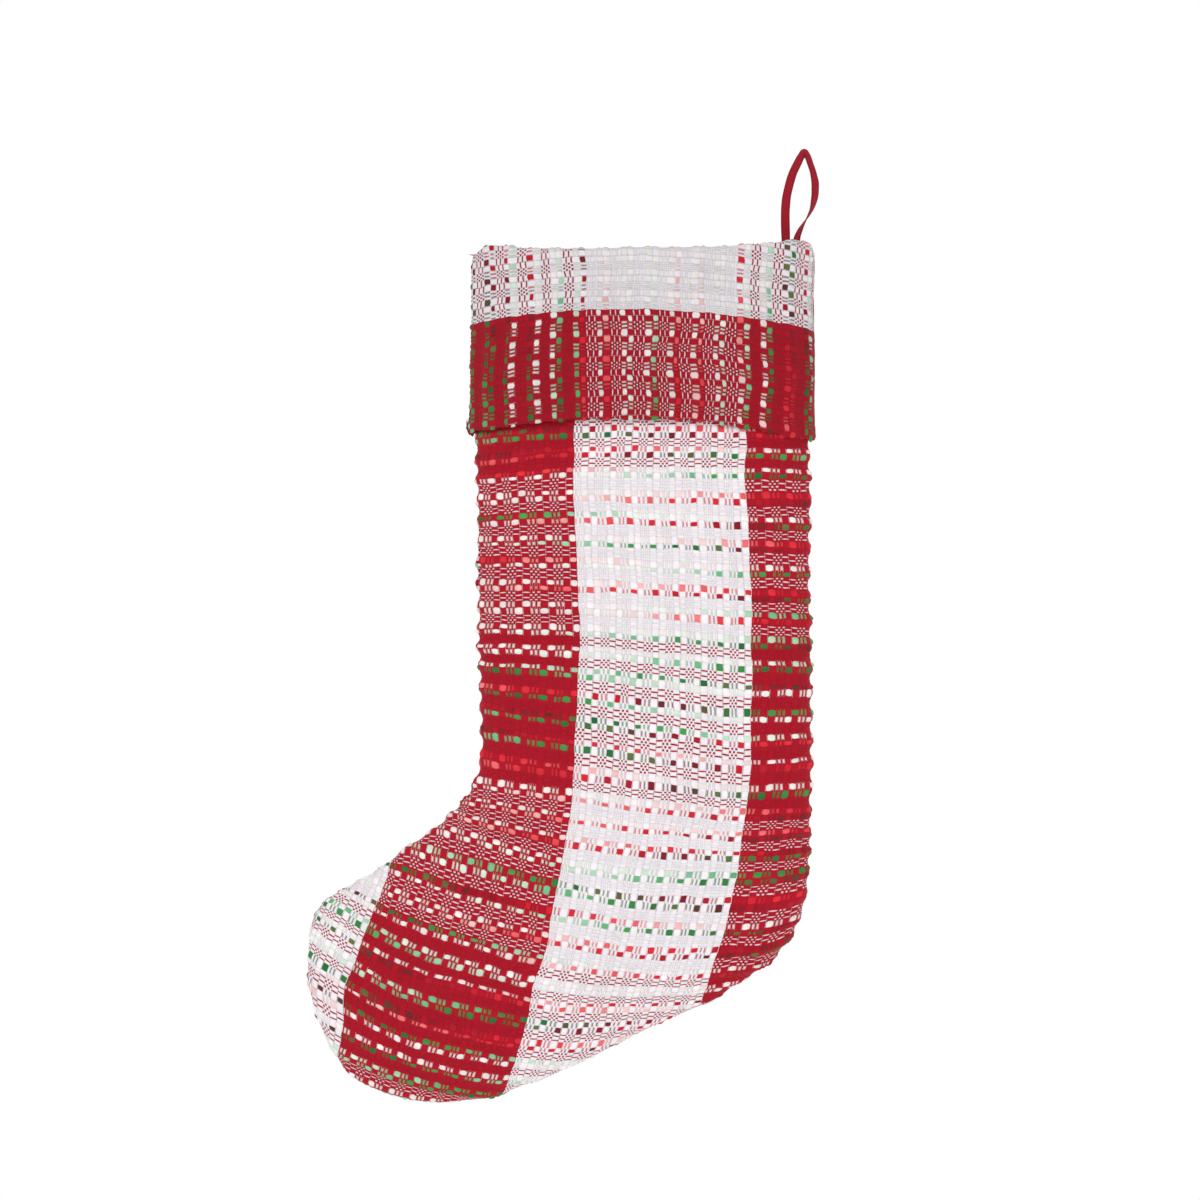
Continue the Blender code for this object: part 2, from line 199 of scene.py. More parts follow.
def crown(yarns):
    """For each grid line, the yarn it lies in or starts, and its share of the yarn's height there."""
    owner = np.concatenate([yarns.owner, yarns.owner[-1:]])
    off = np.clip((yarns.lines - yarns.centre[owner]) / yarns.half[owner], -1, 1)
    return owner, np.cos(off * math.pi / 2) ** 0.7


def soften(flags):
    """Flags along the grid lines of the ends, blurred over a few of them."""
    window = np.hanning(17)
    return np.convolve(flags.astype(float), window / window.sum(), mode="same")


def ribs(v, seed):
    """The rib that the cloth gathers into at each pair of slub picks, from 0 to about 1, unevenly."""
    knots = np.arange(-20, 30)
    uneven = np.interp(v / PICK_PERIOD, knots, np.random.default_rng(seed).uniform(0.55, 1.3, len(knots)))
    return uneven * (0.5 + 0.5 * np.cos(2 * math.pi * (v - PICK_WIDTHS[0]) / PICK_PERIOD))


def relief(cloth, u, v, rib, white_loss, uneven, broad, small, seed):
    """Height of the cloth at its grid points (rows of picks, columns of ends), in mm. It gathers into ribs at
    the slubs, less on the white warp. uneven is the ribs' base, change and size; broad and small are the
    heights and sizes of its waves."""
    end_at, across = crown(cloth["ends"])
    pick_at, down = crown(cloth["picks"])
    height = cloth["height"][pick_at[:, None], end_at[None, :]] * across[None, :] * down[:, None]
    strength = (rib - white_loss * soften(cloth["end_white"][end_at]))[None, :]
    strength = strength * (uneven[0] + uneven[1] * waves(u, v, uneven[2], seed + 1))
    height = height + ribs(v, seed + 4) * strength
    return height + broad[0] * waves(u, v, broad[1], seed + 2) + small[0] * waves(u, v, small[1], seed + 3)


def set_attribute(mesh, name, kind, domain, values):
    """Writes a colour, a vector or a number for each corner, point or face of a mesh."""
    field = {"FLOAT_COLOR": "color", "FLOAT_VECTOR": "vector", "FLOAT": "value"}[kind]
    mesh.attributes.new(name, kind, domain).data.foreach_set(field, values.astype(np.float32).ravel())


def set_cloth_at(mesh, place):
    """Gives each point its place in the flat cloth, in mm, which the materials read."""
    set_attribute(mesh, "cloth_at", "FLOAT_VECTOR", "POINT", np.column_stack([place, np.zeros(len(place))]))


def add_object(name, data):
    """Puts an object in the scene."""
    obj = bpy.data.objects.new(name, data)
    bpy.context.scene.collection.objects.link(obj)
    return obj


def add_woven_mesh(name, points, faces, cells, place, cloth, tone=1.0):
    """A mesh of the cloth. points are in metres, place is each point's place in the flat cloth in mm,
    faces are lists of points, and cells are the row and column of the grid that each face fills."""
    ends, picks = cloth["ends"], cloth["picks"]
    face_end, face_pick = ends.owner[cells[:, 1]], picks.owner[cells[:, 0]]
    loops = np.concatenate([np.asarray(f) for f in faces])
    sizes = np.array([len(f) for f in faces])
    mesh = bpy.data.meshes.new(name)
    mesh.vertices.add(len(points))
    mesh.vertices.foreach_set("co", points.astype(np.float32).ravel())
    mesh.loops.add(len(loops))
    mesh.loops.foreach_set("vertex_index", loops.astype(np.int32))
    mesh.polygons.add(len(sizes))
    starts = np.concatenate([[0], np.cumsum(sizes)[:-1]])
    mesh.polygons.foreach_set("loop_start", starts.astype(np.int32))
    mesh.update(calc_edges=True)
    over = cloth["over"][face_pick, face_end]
    slub = cloth["slub"][face_pick]
    thick = cloth["thick_end"][face_end]
    owner = np.repeat(np.arange(len(sizes)), sizes)
    du = (place[loops, 0] - ends.centre[face_end][owner]) / ends.half[face_end][owner]
    dv = (place[loops, 1] - picks.centre[face_pick][owner]) / picks.half[face_pick][owner]
    along = np.where(over[owner], du, dv)
    across = np.where(over[owner], dv, du)
    swell = cloth["swell"][face_pick, face_end]
    white_warp = cloth["end_white"][face_end]
    white_weft = cloth["pick_white"][face_pick]
    tick = slub & ~thick
    red_tick = tick & ~white_warp
    # how much of its cell a float fills, how much its ends taper and how far along it reaches
    width = swell * np.where(red_tick, TICK_OVER, 1.0)
    width = np.where(slub, width, by_kind(thick, white_warp, DASH_WIDTHS))
    width = np.where(over, width, np.where(red_tick, TICK_UNDER, 1.0))
    taper = np.where(over, by_kind(slub, white_warp, TAPERS), 0.0)
    reach = np.where(over & slub, by_kind(tick, white_warp, SLUB_REACHES), WHOLE_CELL)
    warp_color = np.where(white_warp[:, None], WHITE, CRIMSON)
    slubs = slub_colors(cloth["share"][face_pick, face_end])
    slubs = slubs + (warp_color - slubs) * np.where(tick, TICK_TINT, 0.0)[:, None]
    # red fluff from the warp clings to a thin white pick
    thin_white = WHITE + (CRIMSON - WHITE) * np.where(white_warp, 0.0, RED_FLUFF)[:, None]
    weft_color = np.where(slub[:, None], slubs, np.where(white_weft[:, None], thin_white, CRIMSON))
    # no two floats catch the dye alike
    shade = np.random.default_rng(len(sizes)).uniform(-1, 1, cloth["over"].shape)[face_pick, face_end]
    shade = (1 + shade * np.where(over & slub, 0.09, 0.04))[:, None]
    # tone darkens the piece's colours as painted shade; only the cuff's pieces are given less than 1
    top = np.where(over[:, None], weft_color, warp_color) * shade * tone
    low = np.where(over[:, None], warp_color, weft_color) * tone
    opaque = np.ones(len(sizes))
    for label, values in (("yarn_top", top), ("yarn_low", low)):
        set_attribute(mesh, label, "FLOAT_COLOR", "FACE", np.column_stack([values, opaque]))
    set_attribute(mesh, "float_form", "FLOAT_VECTOR", "FACE", np.column_stack([width, taper, over]))
    set_attribute(mesh, "float_reach", "FLOAT", "FACE", reach)
    spot = np.column_stack([along, across, np.zeros(len(along))])
    set_attribute(mesh, "float_at", "FLOAT_VECTOR", "CORNER", spot)
    set_cloth_at(mesh, place)
    mesh.materials.append(WOVEN)
    mesh.shade_smooth()
    return add_object(name, mesh)


# ---- materials
class Nodes:
    """Short ways to add shader nodes."""

    def __init__(self, name):
        self.material = bpy.data.materials.new(name)
        self.material.use_nodes = True
        self.tree = self.material.node_tree
        self.shader = self.tree.nodes["Principled BSDF"]

    def new(self, kind, **settings):
        node = self.tree.nodes.new(kind)
        for key, value in settings.items():
            setattr(node, key, value)
        return node

    def put(self, socket, value):
        if isinstance(value, bpy.types.NodeSocket):
            self.tree.links.new(value, socket)
        else:
            socket.default_value = value

    def math(self, operation, a, b=0.0, c=0.0, clamp=False):
        node = self.new("ShaderNodeMath", operation=operation, use_clamp=clamp)
        for socket, value in zip(node.inputs, (a, b, c)):
            self.put(socket, value)
        return node.outputs[0]

    def attribute(self, name, output="Vector"):
        return self.new("ShaderNodeAttribute", attribute_name=name).outputs[output]

    def split(self, vector):
        node = self.new("ShaderNodeSeparateXYZ")
        self.put(node.inputs[0], vector)
        return node.outputs

    def mix(self, factor, a, b, kind="MIX"):
        node = self.new("ShaderNodeMix", data_type="RGBA", blend_type=kind)
        self.put(node.inputs["Factor"], factor)
        self.put(node.inputs[6], a)
        self.put(node.inputs[7], b)
        return node.outputs[2]

    def ramp(self, value, low, high):
        node = self.new("ShaderNodeMapRange", interpolation_type="SMOOTHSTEP")
        for socket, v in zip(node.inputs, (value, low, high)):
            self.put(socket, v)
        return node.outputs[0]

    def noise(self, vector, scale, stretch=(1, 1, 1), detail=2.0, roughness=0.5):
        spread = self.new("ShaderNodeMapping")
        self.put(spread.inputs["Vector"], vector)
        spread.inputs["Scale"].default_value = stretch
        node = self.new("ShaderNodeTexNoise")
        self.put(node.inputs["Vector"], spread.outputs[0])
        node.inputs["Scale"].default_value = scale
        node.inputs["Detail"].default_value = detail
        node.inputs["Roughness"].default_value = roughness
        return node.outputs["Fac"]

    def vary(self, tone, value, amount, base):
        """The tone times base + amount * value."""
        return self.math("MULTIPLY", tone, self.math("MULTIPLY_ADD", value, amount, base))

    def finish(self, base, tone, height, distance, strength, roughness):
        """Sets the colour, which is base times the tone, the bump and the roughness."""
        shade = self.new("ShaderNodeCombineXYZ")
        for socket in shade.inputs:
            self.put(socket, tone)
        self.put(self.shader.inputs["Base Color"], self.mix(1.0, base, shade.outputs[0], "MULTIPLY"))
        bump = self.new("ShaderNodeBump")
        bump.inputs["Strength"].default_value = strength
        bump.inputs["Distance"].default_value = distance
        self.put(bump.inputs["Height"], height)
        self.put(self.shader.inputs["Normal"], bump.outputs[0])
        self.put(self.shader.inputs["Roughness"], roughness)

    def gloss(self, specular, sheen):
        self.shader.inputs["Specular IOR Level"].default_value = specular
        self.shader.inputs["Sheen Weight"].default_value = sheen


def woven_material():
    """Reads each float's colours and shape from the mesh, rounds its edges, paints shade beside it and lays
    fibres along its yarn.
    """
    n = Nodes("woven_plaid")
    top, low = n.attribute("yarn_top", "Color"), n.attribute("yarn_low", "Color")
    width, taper, weft_on_top = n.split(n.attribute("float_form"))
    along, across, _ = n.split(n.attribute("float_at"))
    cloth_at = n.attribute("cloth_at")
    along, across = n.math("ABSOLUTE", along), n.math("ABSOLUTE", across)
    ragged = n.noise(cloth_at, 1.3, detail=3.0, roughness=0.6)
    raggedness = n.math("MULTIPLY_ADD", ragged, 0.16, -0.08)
    narrowing = n.math("MULTIPLY", taper, n.math("POWER", along, 2.6))
    limit = n.math("ADD", n.math("MULTIPLY", width, n.math("SUBTRACT", 1.0, narrowing)), raggedness)
    inside = n.ramp(across, limit, n.math("SUBTRACT", limit, 0.16))
    reach = n.math("ADD", n.attribute("float_reach", "Fac"), raggedness)
    inside = n.math("MULTIPLY", inside, n.ramp(along, reach, n.math("SUBTRACT", reach, 0.14)))
    # fibres run along the yarn that is on top
    weft_fibre = n.noise(cloth_at, 1.0, (1.1, 5.0, 1.0), 3.0, 0.6)
    warp_fibre = n.noise(cloth_at, 1.0, (5.0, 1.1, 1.0), 3.0, 0.6)
    blend = n.new("ShaderNodeMix", data_type="FLOAT")
    n.put(blend.inputs[0], weft_on_top)
    n.put(blend.inputs[2], warp_fibre)
    n.put(blend.inputs[3], weft_fibre)
    fibre = blend.outputs[0]
    broad = n.noise(cloth_at, 0.035, detail=2.0)
    mottle = n.noise(cloth_at, 0.33, detail=2.0, roughness=0.6)
    tone = n.math("MULTIPLY_ADD", fibre, 0.46, 0.81)
    tone = n.vary(tone, broad, 0.14, 0.93)
    tone = n.vary(tone, mottle, 0.22, 0.90)
    # painted shade: a float is darker towards its sides and in the groove beside it, where shade falls
    groove_shade = n.ramp(across, 0.60, 1.0)
    edge_shade = n.math("MULTIPLY", n.math("MULTIPLY", inside, n.math("SUBTRACT", 1.0, inside)), 4.0)
    tone = n.vary(tone, groove_shade, -0.09, 1.02)
    tone = n.vary(tone, edge_shade, -0.08, 1.0)
    # the ribs catch the light and the valleys between them don't
    from_rib = n.math("SUBTRACT", n.split(cloth_at)[1], PICK_WIDTHS[0])
    rib = n.math("COSINE", n.math("MULTIPLY", from_rib, 2 * math.pi / PICK_PERIOD))
    tone = n.vary(tone, rib, 0.035, 0.99)
    # painted shade in the small gaps where four yarns meet
    gap_shade = n.math("MULTIPLY", n.ramp(across, 0.60, 0.95), n.ramp(along, 0.60, 0.95))
    tone = n.vary(tone, gap_shade, -0.22, 1.0)
    square = n.math("MULTIPLY", across, across, clamp=True)
    round_top = n.math("SQRT", n.math("SUBTRACT", 1.0, square, clamp=True))
    height = n.math("MULTIPLY_ADD", round_top, 0.7, n.math("MULTIPLY", fibre, 0.6))
    height = n.math("MULTIPLY_ADD", inside, 0.5, height)
    n.finish(n.mix(inside, low, top), tone, height, 0.0003, 0.9, n.math("MULTIPLY_ADD", fibre, 0.12, 0.80))
    n.gloss(0.18, 0.06)
    n.shader.inputs["Sheen Roughness"].default_value = 0.5
    return n.material


def cotton_material(name, tint, weave):
    """A fine plain weave of one colour that repeats every weave mm, over the mesh's own cloth_at."""
    n = Nodes(name)
    u, v, _ = n.split(n.attribute("cloth_at"))
    warp = n.math("SINE", n.math("MULTIPLY", u, math.pi / weave * 2))
    weft = n.math("SINE", n.math("MULTIPLY", v, math.pi / weave * 2))
    threads = n.math("MULTIPLY_ADD", n.math("MULTIPLY", warp, weft), 0.5, 0.5)
    fuzz = n.noise(n.attribute("cloth_at"), 1.6, detail=4.0, roughness=0.65)
    broad = n.noise(n.attribute("cloth_at"), 0.04, detail=3.0)
    tone = n.math("MULTIPLY_ADD", threads, 0.10, 0.88)
    tone = n.vary(tone, fuzz, 0.16, 0.92)
    tone = n.vary(tone, broad, 0.14, 0.93)
    height = n.math("MULTIPLY_ADD", fuzz, 0.6, n.math("MULTIPLY", threads, 0.5))
    n.finish((*tint, 1.0), tone, height, 0.0002, 0.5, n.math("MULTIPLY_ADD", fuzz, 0.15, 0.78))
    n.gloss(0.2, 0.1)
    return n.material


def thread_material(name, tint, pitch=1.2):
    """Twisted sewing thread or rolled cloth, by place in the object. The pitch is in mm."""
    n = Nodes(name)
    place = n.new("ShaderNodeTexCoord").outputs["Object"]
    x, y, z = n.split(place)
    total = n.math("ADD", n.math("ADD", x, y), z)
    twist = n.math("SINE", n.math("MULTIPLY", total, 2 / MM * math.pi / pitch))
    fuzz = n.noise(place, 1400.0, detail=3.0)
    tone = n.math("MULTIPLY_ADD", twist, 0.12, n.math("MULTIPLY_ADD", fuzz, 0.25, 0.78))
    roughness = n.math("MULTIPLY_ADD", fuzz, 0.2, 0.65)
    n.finish((*tint, 1.0), tone, n.math("ADD", twist, fuzz), 0.0002, 0.6, roughness)
    return n.material


WOVEN = woven_material()
LINING = cotton_material("lining_cotton", color("EFEBE4"), 0.7)
FACING = cotton_material("facing_cotton", color("A81F29"), 0.9)
RED_THREAD = thread_material("thread_red", color("A81A30"))


# ---- curves and fields
def hermite(knots, values, at):
    """A smooth curve through values at knots, that never swings past them, at any places."""
    knots, values = np.asarray(knots, float), np.asarray(values, float)
    if values.ndim == 1:
        return hermite(knots, values[:, None], at)[..., 0]
    steps = np.diff(knots)
    rises = np.diff(values, axis=0) / steps[:, None]
    before, after = rises[:-1], rises[1:]
    flat = before * after <= 0
    inner = np.where(flat, 0.0, 2 * before * after / np.where(flat, 1.0, before + after))
    slopes = np.concatenate([rises[:1], inner, rises[-1:]])
    at = np.asarray(at, float)
    inside = np.clip(at, knots[0], knots[-1])
    span = np.clip(np.searchsorted(knots, inside, side="right") - 1, 0, len(knots) - 2)
    step = steps[span][..., None]
    t = (inside - knots[span])[..., None] / step
    result = ((1 + 2 * t) * (1 - t) ** 2 * values[span] + t * (1 - t) ** 2 * step * slopes[span]
              + t**2 * (3 - 2 * t) * values[span + 1] + t**2 * (t - 1) * step * slopes[span + 1])
    beyond = (at - inside)[..., None]
    return result + beyond * np.where(beyond < 0, slopes[0], slopes[-1])


def nearest_on_path(points, path):
    """Each point's distance to a path, and the unit vector to it from the nearest place on the path."""
    distance, direction = np.empty(len(points)), np.empty((len(points), 2))
    start, step = path[:-1], np.diff(path, axis=0)
    length = np.maximum((step**2).sum(axis=1), 1e-14)
    for first in range(0, len(points), 20000):
        part = points[first : first + 20000]
        offset = part[:, None, :] - start[None]
        share = np.clip((offset * step).sum(axis=2) / length, 0, 1)
        away = part[:, None, :] - (start + share[..., None] * step)
        size = np.linalg.norm(away, axis=2)
        best = size.argmin(axis=1)
        rows = np.arange(len(part))
        distance[first : first + 20000] = size[rows, best]
        direction[first : first + 20000] = away[rows, best] / np.maximum(size[rows, best], 1e-9)[:, None]
    return distance, direction


# ---- the leg and foot
BODY_HALF_DEPTH, EDGE_ROUNDING, RIM_STRIP = 0.0170, 0.0420, 0.0014
MOUTH_Z = -0.0602
# How near the mouth counts as the mouth, and where the leg's middle is there
NEAR_MOUTH, LEG_MIDDLE_X = 0.03, -0.095
# From where and over how far the ribs are pressed down under the cuff, and to what share
UNDER_CUFF_Z, UNDER_CUFF_FADE, UNDER_CUFF_SHARE = -0.145, 0.015, 0.12
# Half the gap that is left between front and back where they are sewn together
SEAM_GAP = 0.0004
# Lines across from the instep's side to the heel's, down the leg and along the foot, as (x, z) in metres
LEG_AND_FOOT_LINES = (
    ((-0.1920, -0.0600), (0.0020, -0.0600)),
    ((-0.1920, -0.2000), (0.0020, -0.2000)),
    ((-0.1895, -0.3550), (0.0030, -0.4000)),
    ((-0.1945, -0.3735), (0.0010, -0.4290)),
    ((-0.2080, -0.3910), (-0.0070, -0.4590)),
    ((-0.2300, -0.4085), (-0.0360, -0.4875)),
    ((-0.2600, -0.4290), (-0.0960, -0.5185)),
    ((-0.2830, -0.4420), (-0.1600, -0.5475)),
    ((-0.2905, -0.4560), (-0.1950, -0.5588)),
    ((-0.2920, -0.4830), (-0.2250, -0.5592)),
    ((-0.2870, -0.5080), (-0.2560, -0.5490)),
    ((-0.2760, -0.5320), (-0.2760, -0.5320)),
)


def leg_lines(count, trim=0.0):
    """Lines across at even steps from the mouth to trim short of the toe, each as x, z, x, z."""
    lines = np.array([(*a, *b) for a, b in LEG_AND_FOOT_LINES])
    knots = np.concatenate([[0], np.cumsum(np.linalg.norm(np.diff(lines, axis=0), axis=1))])
    return hermite(knots, lines, np.linspace(0, knots[-1] - trim, count))


def body_outline():
    """The outline from the mouth's instep end round the toe to the mouth's heel end, as (x, z) points."""
    ends = leg_lines(150)
    return np.concatenate([ends[:, :2], ends[-2::-1, 2:]])


OUTLINE = body_outline()

# Weft lines of the front: by period, the heights of its second slub pick at places across, in metres
SECOND_SLUB = (PICK_WIDTHS[0] + PICK_WIDTHS[1] / 2) / PICK_PERIOD
WEFT_PLACES = (-0.280, -0.238, -0.194, -0.134, -0.085, -0.032, 0.002)
WEFT_GUIDES = (
    (-17, (-0.0385, -0.0385, -0.0385, -0.0385, -0.0385, -0.0385, -0.0385)),
    (-9, (-0.1715, -0.1715, -0.1710, -0.1678, -0.1672, -0.1675, -0.1680)),
    (-8, (-0.1835, -0.1835, -0.1832, -0.1790, -0.1790, -0.1795, -0.1800)),
    (-3, (-0.2443, -0.2443, -0.2440, -0.2443, -0.2466, -0.2492, -0.2500)),
    (0, (-0.2780, -0.2800, -0.2826, -0.2838, -0.2870, -0.2909, -0.2920)),
    (2, (-0.2930, -0.2990, -0.3050, -0.3092, -0.3145, -0.3198, -0.3198)),
    (5, (-0.3180, -0.3300, -0.3431, -0.3525, -0.3593, -0.3646, -0.3626)),
    (7, (-0.3440, -0.3570, -0.3729, -0.3814, -0.3879, -0.3924, -0.3909)),
    (10, (-0.3805, -0.3935, -0.4065, -0.4227, -0.4286, -0.4298, -0.4266)),
    (12, (-0.4050, -0.4257, -0.4407, -0.4531, -0.4599, -0.4602, -0.4537)),
    (14, (-0.4300, -0.4535, -0.4683, -0.4820, -0.4864, -0.4838, -0.4756)),
    (16, (-0.4564, -0.4815, -0.4950, -0.5055, -0.5056, -0.5015, -0.4944)),
    (18, (-0.4846, -0.5090, -0.5213, -0.5295, -0.5280, -0.5240, -0.5190)),
    (20, (-0.5160, -0.5350, -0.5462, -0.5528, -0.5520, -0.5480, -0.5440)),
    (23, (-0.5575, -0.5710, -0.5820, -0.5900, -0.5900, -0.5860, -0.5820)),
)
# Warp lines: by height, where three of the plaid's edges lie, in metres
WARP_GUIDES = (
    (-0.060, (-0.2465, -0.1345, -0.0350)),
    (-0.170, (-0.2465, -0.1351, -0.0348)),
    (-0.188, (-0.2465, -0.1363, -0.0348)),
    (-0.235, (-0.2460, -0.1339, -0.0324)),
    (-0.282, (-0.2455, -0.1322, -0.0313)),
    (-0.323, (-0.2450, -0.1339, -0.0313)),
    (-0.376, (-0.2440, -0.1363, -0.0324)),
    (-0.400, (-0.2440, -0.1392, -0.0366)),
    (-0.424, (-0.2460, -0.1440, -0.0396)),
    (-0.447, (-0.2535, -0.1481, -0.0445)),
    (-0.471, (-0.2625, -0.1528, -0.0507)),
    (-0.494, (-0.2700, -0.1599, -0.0578)),
    (-0.518, (-0.2725, -0.1646, -0.0650)),
    (-0.536, (-0.2760, -0.1705, -0.0710)),
    (-0.553, (-0.2800, -0.1752, -0.0770)),
)
# Periods of the warp from one of those edges to the next, and the width of one to the right of the last
GUIDE_STEP = 8
RED_END_PERIOD = 0.0140
MIDDLE_GUIDE_X, FIRST_GUESS_PERIOD = -0.1345, 0.0128
# How far the back's cloth is shifted against the front's, in periods of the warp, and its bands with it
BACK_SHIFT, BACK_BAND_SHIFT = 2.3, 2


def quarter_arc(rounding, depth, count=200):
    """Arc length, inward distance and depth along the rounded edge of a stuffed half, from its rim."""
    turn = np.linspace(0, math.pi / 2, count)
    inward, out = rounding * (1 - np.cos(turn)), depth * np.sin(turn)
    arc = np.concatenate([[0], np.cumsum(np.hypot(np.diff(inward), np.diff(out)))])
    return arc, inward, out


def clip_grid(values, keep):
    """Cuts a grid of points at keep = 0. values is (rows, columns, fields). Returns the kept points' fields,
    the faces, each face's (row, column) and the pairs of points along the cut."""
    rows, columns = keep.shape
    index = np.full(keep.shape, -1)
    inside = keep >= 0
    index[inside] = np.arange(inside.sum())
    fields = list(values[inside])
    corners_in = inside[:-1, :-1].astype(int) + inside[1:, :-1] + inside[1:, 1:] + inside[:-1, 1:]
    i, j = np.nonzero(corners_in == 4)
    faces = list(np.stack([index[i, j], index[i + 1, j], index[i + 1, j + 1], index[i, j + 1]], axis=1))
    cells = list(zip(i, j))
    made, rim = {}, []
    for i, j in zip(*np.nonzero((corners_in > 0) & (corners_in < 4))):
        ring, polygon, cut = [(i, j), (i + 1, j), (i + 1, j + 1), (i, j + 1)], [], []
        for a, b in zip(ring, ring[1:] + ring[:1]):
            if inside[a]:
                polygon.append(index[a])
            if inside[a] != inside[b]:
                key = (min(a, b), max(a, b))
                if key not in made:
                    share = keep[key[0]] / (keep[key[0]] - keep[key[1]])
                    made[key] = len(fields)
                    fields.append(values[key[0]] * (1 - share) + values[key[1]] * share)
                polygon.append(made[key])
                cut.append(made[key])
        if len(polygon) >= 3:
            faces.append(np.array(polygon))
            cells.append((i, j))
            if len(cut) == 2:
                # the cut runs from where the ring leaves the kept side to where it comes back
                first = polygon.index(cut[0])
                ahead = polygon[(first + 1) % len(polygon)] == cut[1]
                rim.append(tuple(cut) if ahead else tuple(cut[::-1]))
    return np.array(fields), faces, np.array(cells), rim


def panel_places(ends, picks, back):
    """Where each grid point of a panel lies flat in front view: x and z in metres."""
    u = ends.lines / END_PERIOD
    v = picks.lines / PICK_PERIOD
    if back:
        u = u + BACK_SHIFT
    guides = np.array([g for _, g in WEFT_GUIDES])
    by_row = hermite([n + SECOND_SLUB for n, _ in WEFT_GUIDES], guides, v)
    warp = np.array([g for _, g in WARP_GUIDES])[::-1]
    heights = np.array([h for h, _ in WARP_GUIDES])[::-1]
    x = np.broadcast_to(MIDDLE_GUIDE_X + u[None, :] * FIRST_GUESS_PERIOD, (len(v), len(u))).copy()
    # each yarn's line bends with the other's, so the crossings settle in a few rounds
    for _ in range(6):
        z = np.stack([hermite(WEFT_PLACES, by_row[i], x[i]) for i in range(len(v))])
        lines = hermite(heights, warp, z)
        left, middle, right = lines[..., 0], lines[..., 1], lines[..., 2]
        share = u[None, :] / GUIDE_STEP
        x = np.where(share < 0, middle + share * (middle - left), middle + share * (right - middle))
        x = np.where(share > 1, right + (share - 1) * GUIDE_STEP * RED_END_PERIOD, x)
    across, down = np.meshgrid(ends.lines, picks.lines)
    x = x + MM * (0.30 * waves(across, down, 10, 3 + back) + 0.6 * waves(across, down, 36, 5 + back))
    z = z + MM * (0.32 * waves(across, down, 9, 7 + back) + 0.5 * waves(across, down, 30, 9 + back))
    return x, z


def body_bands(ends, picks, shift):
    """Which ends and which thin picks are white. The plaid's bands are seven or eight periods wide."""
    e = ends.period + 0.5 + shift
    end_white = (e < -8) | ((e > 0) & (e < 8)) | (e > 16)
    n = picks.period
    pick_white = ((n >= -21) & (n <= -15)) | ((n >= -7) & (n <= -1)) | ((n >= 7) & (n <= 13)) | (n >= 21)
    return end_white, pick_white


def turn_in_edge(points, place, faces, cells, rim, flat, inwards):
    """Adds the strips where the raw edge turns in at the seam, and at the mouth goes straight back."""
    edge = sorted({k for pair in rim for k in pair})
    turned = {}
    extra_points, extra_place = [], []
    for step, (inset, y) in enumerate(((0.0006, -0.00025), (0.0018, -0.0002))):
        for k in edge:
            p = points[k].copy()
            if flat[k, 1] > MOUTH_Z - 0.0001:
                p += (0, 0.0009 * (step + 1), 0)
            else:
                p = np.array([p[0] + inwards[k, 0] * inset, y, p[2] + inwards[k, 1] * inset])
            turned[(step, k)] = len(points) + len(extra_points)
            extra_points.append(p)
            extra_place.append(place[k])
    cells = [tuple(c) for c in cells]
    rim_cells = {}
    for face, cell in zip(faces[-len(rim) * 2 :], cells[-len(rim) * 2 :]):
        for k in face:
            rim_cells.setdefault(int(k), cell)
    for a, b in rim:
        cell = rim_cells.get(int(a), cells[0])
        faces.append(np.array([b, a, turned[(0, a)], turned[(0, b)]]))
        faces.append(np.array([turned[(0, b)], turned[(0, a)], turned[(1, a)], turned[(1, b)]]))
        cells += [cell, cell]
    points, place = np.concatenate([points, extra_points]), np.concatenate([place, extra_place])
    return points, place, faces, np.array(cells)


def stuff(flat, signed, inwards, height, arc, inward, out):
    """Bends the flat panel round the rounded edge of a stuffed half and raises its yarns."""
    spare = arc[-1] - inward[-1]
    run = np.clip(signed + spare, 0, None)
    new_distance = np.where(run < arc[-1], np.interp(run, arc, inward), run - spare)
    depth = RIM_STRIP + np.where(run < arc[-1], np.interp(run, arc, out), out[-1])
    moved = flat + inwards * (new_distance - signed)[:, None]
    # outward direction of the stuffed surface
    lean = np.clip(new_distance / EDGE_ROUNDING, 0, 1)
    sine, cosine = (1 - lean), np.sqrt(np.clip(1 - (1 - lean) ** 2, 0, 1))
    steep = BODY_HALF_DEPTH / EDGE_ROUNDING
    slope = np.stack([-inwards[:, 0] * sine * steep, -cosine, -inwards[:, 1] * sine * steep], axis=1)
    slope = np.where((lean < 1)[:, None], slope, np.array([0.0, -1.0, 0.0]))
    slope /= np.linalg.norm(slope, axis=1)[:, None]
    points = np.stack([moved[:, 0], -depth, moved[:, 1]], axis=1) + slope * height[:, None] * MM
    points[:, 1] = np.minimum(points[:, 1], -SEAM_GAP)
    return points


